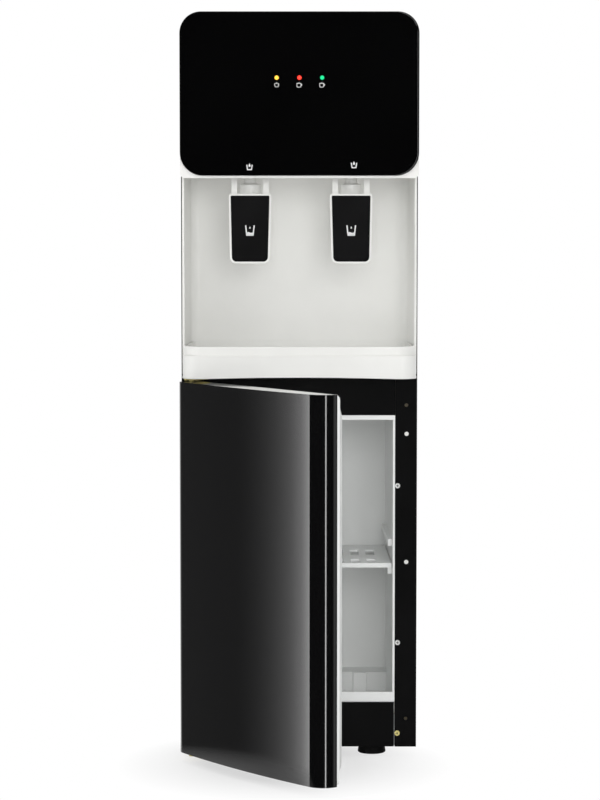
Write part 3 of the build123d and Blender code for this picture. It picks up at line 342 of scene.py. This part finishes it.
def printMark(name, parts, body, plane, material):
    verts, faces, base = [], [], 0
    for flat, polygons in parts:
        depth = plane[0] + plane[1] * flat[:, 1] - marks["lift"]
        verts.append(np.stack([flat[:, 0], depth, flat[:, 1]], 1))
        faces += [[int(i) + base for i in polygon] for polygon in polygons]
        base += len(flat)
    mesh = bpy.data.meshes.new(name)
    mesh.from_pydata(np.concatenate(verts).tolist(), [], faces)
    mesh.materials.append(material)
    mark = bpy.data.objects.new(name, mesh)
    bpy.context.collection.objects.link(mark)
    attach(mark, body)


marks = {
    "lift": 0.00006,
    "line": 0.72 * mm,
    "iconZ": 888.6 * mm,
    "tapX": (-64.5 * mm, 67.5 * mm),
    "iconX": (-64.6 * mm, 70.6 * mm),
    "iconTapZ": (783.4 * mm, 786.0 * mm),
    "cupZ": 700.8 * mm,
    "cupSize": 13.3 * mm,
    "cupLine": 1.6 * mm,
    "tapLine": 1.4 * mm,
    "lampX": (-29.4 * mm, 0.0, 29.4 * mm),
}
whiteInk = inkAndShade("whiteInk", (0.7, 0.7, 0.7), (0.82, 0.82, 0.82))
panelPlane = surfacePlane("display_panel", 0.01, 0.80, 0.95)


def powerIcon(x, z):
    ring = strip(arc(x, z, 2.7 * mm, 120, 420, 20), marks["line"])
    bar = strip([(x, z + 1.1 * mm), (x, z + 3.4 * mm)], marks["line"])
    return [ring, bar]


def mugIcon(x, z):
    # a round-bellied mug from the side with a handle and a curl of steam
    left, top, foot = x - 3.2 * mm, z + 1.9 * mm, z - 2.9 * mm
    right = x + 1.9 * mm
    bend = 1.3 * mm
    body = np.concatenate([[(left, top)], arc(left + bend, foot + bend, bend, 180, 270, 5),
                           arc(right - bend, foot + bend, bend, 270, 360, 5), [(right, top)]])
    handle = strip(arc(right, z - 0.1 * mm, 1.2 * mm, -75, 75, 9), marks["line"])
    return [strip(body, marks["line"], True), handle,
            strip([(x - 0.5 * mm, z + 2.5 * mm), (x - 0.5 * mm, z + 3.4 * mm)], marks["line"])]


def glassIcon(x, z, size, width):
    # a tall tapered glass, open above, water in its foot, a small drop falling into it
    top, low, high = size * 0.42, size * 0.31, size * 0.48
    outline = [(x - top, z + high), (x - low, z - high), (x + low, z - high), (x + top, z + high)]
    water = [(x - low, z - high), (x + low, z - high), (x + low * 1.06, z - size * 0.2),
             (x + low * 0.3, z - size * 0.25), (x - low * 0.4, z - size * 0.17),
             (x - low * 1.06, z - size * 0.21)]
    drop = dropOutline(x, z + size * 0.22, size * 0.17)
    return [strip(outline, width), filled(water), filled(drop)]


def tapIcon(x, z):
    # an open cup with a drop falling into it
    cup = [(x - 3.5 * mm, z + 2.4 * mm), (x - 2.5 * mm, z - 3.9 * mm), (x + 2.5 * mm, z - 3.9 * mm),
           (x + 3.5 * mm, z + 2.4 * mm)]
    return [strip(cup, marks["tapLine"]), filled(dropOutline(x, z + 1.0 * mm, 3.4 * mm))]


powerX, *mugX = marks["lampX"]
icons = powerIcon(powerX, marks["iconZ"])
for x in mugX:
    icons += mugIcon(x, marks["iconZ"])
for x, z in zip(marks["iconX"], marks["iconTapZ"]):
    icons += tapIcon(x, z)
printMark("panelMarks", icons, "cabinet", panelPlane, whiteInk)

for side, x in zip(("left", "right"), marks["tapX"]):
    node = side + "_paddle_inset"
    low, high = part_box(node)
    plane = surfacePlane(node, x, low.z + 0.01, high.z - 0.01)
    cup = glassIcon(x, marks["cupZ"], marks["cupSize"], marks["cupLine"])
    printMark(side + "CupMark", cup, side + "_lever", plane, whiteInk)
print("printed marks done")


# painted shade in the screw heads' cross recesses

def crossDriveShade(name, x, z, face, body):
    # painted shade: a dark plus a hair above the head stands in for the shade of the four-armed
    # recess
    arm, wide = screws["arm"], screws["wide"]
    shape = np.array([(wide, wide), (wide, arm), (-wide, arm)])
    quarterTurn = np.array([[0, -1], [1, 0]])
    outline = []
    for _ in range(4):
        outline.append(shape)
        shape = shape @ quarterTurn.T
    flat = np.concatenate(outline)
    verts = np.stack([x + flat[:, 0], np.full(len(flat), face), z + flat[:, 1]], 1)
    mesh = bpy.data.meshes.new(name)
    mesh.from_pydata(verts.tolist(), [], [list(range(len(flat)))])
    mesh.materials.append(driveShade)
    shadeMark = bpy.data.objects.new(name, mesh)
    bpy.context.collection.objects.link(shadeMark)
    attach(shadeMark, body)


screws = {
    "arm": 1.7 * mm,
    "wide": 0.42 * mm,
    "lift": 0.00008,
    "silver": ((129.6, 363.6), (130.0, 154.4)),
    "yellow": ((129.8, 32.8),),
}
# painted shade: near-black flat colour laid where the recesses only hold shade
driveShade = inkAndShade("driveShade", (0.01, 0.01, 0.01), (0.03, 0.03, 0.03))
for group, node in (("silver", "liner_screws"), ("yellow", "hinge_screws")):
    for i, (x, z) in enumerate(screws[group]):
        hit, place, _, _ = nodes[node].ray_cast(Vector((x * mm, -1, z * mm)), Vector((0, 1, 0)))
        if hit:
            crossDriveShade(f"{group}DriveShade{i}", x * mm, z * mm, place.y - screws["lift"], "cabinet")
print("screw drives done")


# floor, backdrop and light

def times(tree, a, b):
    share = tree.nodes.new("ShaderNodeMath")
    share.operation = "MULTIPLY"
    for socket, value in zip(share.inputs, (a, b)):
        if isinstance(value, (int, float)):
            socket.default_value = value
        else:
            tree.links.new(value, socket)
    return share.outputs["Value"]


def blendShaders(tree, factor, first, second):
    mix = tree.nodes.new("ShaderNodeMixShader")
    tree.links.new(factor, mix.inputs["Fac"])
    tree.links.new(first, mix.inputs[1])
    tree.links.new(second, mix.inputs[2])
    return mix.outputs["Shader"]


def whiteStage():
    # white to the camera with a soft contact shadow; only the floor close by shows in gloss
    material = bpy.data.materials.new("stageWhite")
    material.use_nodes = True
    tree = material.node_tree
    tree.nodes.clear()
    out = tree.nodes.new("ShaderNodeOutputMaterial")
    matte = tree.nodes.new("ShaderNodeBsdfDiffuse")
    matte.inputs["Color"].default_value = (0.88, 0.88, 0.88, 1)
    glow = tree.nodes.new("ShaderNodeEmission")
    glow.inputs["Color"].default_value = (1, 1, 1, 1)
    clear = tree.nodes.new("ShaderNodeBsdfTransparent")
    path = tree.nodes.new("ShaderNodeLightPath")
    where = tree.nodes.new("ShaderNodeTexCoord")
    away = tree.nodes.new("ShaderNodeVectorMath")
    away.operation = "DISTANCE"
    away.inputs[1].default_value = stage["heart"]
    tree.links.new(where.outputs["Object"], away.inputs[0])
    shares = []
    for near, far, low in (stage["gloss"], stage["white"]):
        fade = tree.nodes.new("ShaderNodeMapRange")
        fade.inputs["From Min"].default_value = near
        fade.inputs["From Max"].default_value = far
        fade.inputs["To Min"].default_value = low
        tree.links.new(away.outputs["Value"], fade.inputs["Value"])
        shares.append(fade.outputs["Result"])
    seen = blendShaders(tree, times(tree, path.outputs["Is Camera Ray"], shares[1]),
                        matte.outputs["BSDF"], glow.outputs["Emission"])
    whole = blendShaders(tree, times(tree, path.outputs["Is Glossy Ray"], shares[0]),
                         seen, clear.outputs["BSDF"])
    tree.links.new(whole, out.inputs["Surface"])
    return material


def floorPlane():
    half = stage["floorHalf"]
    mesh = bpy.data.meshes.new("floor")
    mesh.from_pydata([(-half, -half, 0), (half, -half, 0), (half, half, 0), (-half, half, 0)], [],
                     [(0, 1, 2, 3)])
    mesh.materials.append(whiteStage())
    floor = bpy.data.objects.new("floor", mesh)
    bpy.context.collection.objects.link(floor)


def softBox(name, place, aim, width, height, power):
    light = bpy.data.lights.new(name, "AREA")
    light.shape = "RECTANGLE"
    light.size = width
    light.size_y = height
    light.energy = power
    box = bpy.data.objects.new(name, light)
    box.location = place
    box.rotation_euler = (Vector(aim) - Vector(place)).to_track_quat("-Z", "Y").to_euler()
    box.visible_glossy = False
    bpy.context.collection.objects.link(box)


def onCircle(turn, away, height):
    # place at a turn from the front towards the left, in degrees
    return (-away * math.sin(math.radians(turn)), -0.15 - away * math.cos(math.radians(turn)), height)


def whiteWorld():
    # white behind the object, plain fill for matte surfaces, a side glow for gloss
    world = bpy.data.worlds.new("studio")
    world.use_nodes = True
    tree = world.node_tree
    tree.nodes.clear()
    out = tree.nodes.new("ShaderNodeOutputWorld")
    path = tree.nodes.new("ShaderNodeLightPath")
    glows = []
    for level in (stage["fill"], stage["glowTop"], 1.0):
        glow = tree.nodes.new("ShaderNodeBackground")
        glow.inputs["Color"].default_value = (1, 1, 1, 1)
        glow.inputs["Strength"].default_value = level
        glows.append(glow)
    where = tree.nodes.new("ShaderNodeTexCoord")
    turned = tree.nodes.new("ShaderNodeMapping")
    turned.inputs["Rotation"].default_value = (0, 0, math.pi / 2)
    sweep = tree.nodes.new("ShaderNodeTexGradient")
    sweep.gradient_type = "RADIAL"
    tree.links.new(where.outputs["Generated"], turned.inputs["Vector"])
    tree.links.new(turned.outputs["Vector"], sweep.inputs["Vector"])
    ramp = tree.nodes.new("ShaderNodeValToRGB")
    marksAlong = ramp.color_ramp.elements
    for _ in stage["sideGlow"][2:]:
        marksAlong.new(0.5)
    for mark, (turn, level) in zip(marksAlong, stage["sideGlow"]):
        mark.position = 0.5 - turn / 360
        mark.color = (level / stage["glowTop"],) * 3 + (1,)
    tree.links.new(sweep.outputs["Fac"], ramp.inputs["Fac"])
    tree.links.new(ramp.outputs["Color"], glows[1].inputs["Color"])
    fills = [glow.outputs["Background"] for glow in glows]
    glossed = blendShaders(tree, path.outputs["Is Glossy Ray"], fills[0], fills[1])
    whole = blendShaders(tree, path.outputs["Is Camera Ray"], glossed, fills[2])
    tree.links.new(whole, out.inputs["Surface"])
    bpy.context.scene.world = world


stage = {
    "floorHalf": 6.0,
    "heart": (-0.02, -0.2, 0),
    "white": (0.1, 0.22, 0.6),
    "gloss": (0.12, 0.25, 0.0),
    "fill": 0.68,
    "glowTop": 6.0,
    # turn from the front towards the left in degrees, and the level that gloss sees there
    "sideGlow": (
        (180, 1.4), (150, 1.2), (130, 0.08),  # rear: the door's top edge
        (118, 0.065), (104, 0.06), (102, 0.08), (99.7, 0.13), (97.4, 0.22), (95.2, 0.39),
        (92.9, 0.6), (92.2, 0.75),  # rise across the bow of the open door
        (91.8, 3.0), (89.4, 3.6), (89.0, 0.01),  # bright band by its free edge
        (-11, 0.01), (-12, 5.0), (-17, 5.0), (-18, 0.01),  # thin line round its corner
        (-60, 0.01), (-73, 0.5), (-80, 0.01),
        (-120, 0.01), (-150, 1.2),
    ),
}
floorPlane()
whiteWorld()
middle = (0, -0.15, 0.6)
# place, aim, width, height in metres, power in watts
lamps = {
    "frontFlat": (onCircle(-6, 3.2, 1.1), middle, 1.3, 1.3, 28),
    "rightHigh": (onCircle(-30, 3.0, 2.0), middle, 1.4, 1.4, 3),
    "keyLeft": (onCircle(55, 2.6, 0.9), middle, 1.2, 2.2, 13),
    "overhead": ((0.0, 0.1, 2.8), (0, 0, 0.5), 1.6, 1.6, 5),
}
for name, lamp in lamps.items():
    softBox(name, *lamp)
print("stage and light done")


# camera

def photoCamera():
    data = bpy.data.cameras.new("photoView")
    data.sensor_width = view["sensor"]
    data.lens = view["focalPixels"] * view["sensor"] / view["longSide"]
    camera = bpy.data.objects.new("photoView", data)
    camera.location = [c * mm for c in view["place"]]
    camera.rotation_euler = (math.radians(90 - view["pitch"]), 0, 0)
    bpy.context.collection.objects.link(camera)
    bpy.context.scene.camera = camera


view = {
    "place": (0.74, -3876.7, 783.1),
    "pitch": 4.70,
    "focalPixels": 2835.7,
    "longSide": 800,
    "sensor": 36.0,
}
photoCamera()
bpy.context.scene.view_settings.view_transform = "Standard"
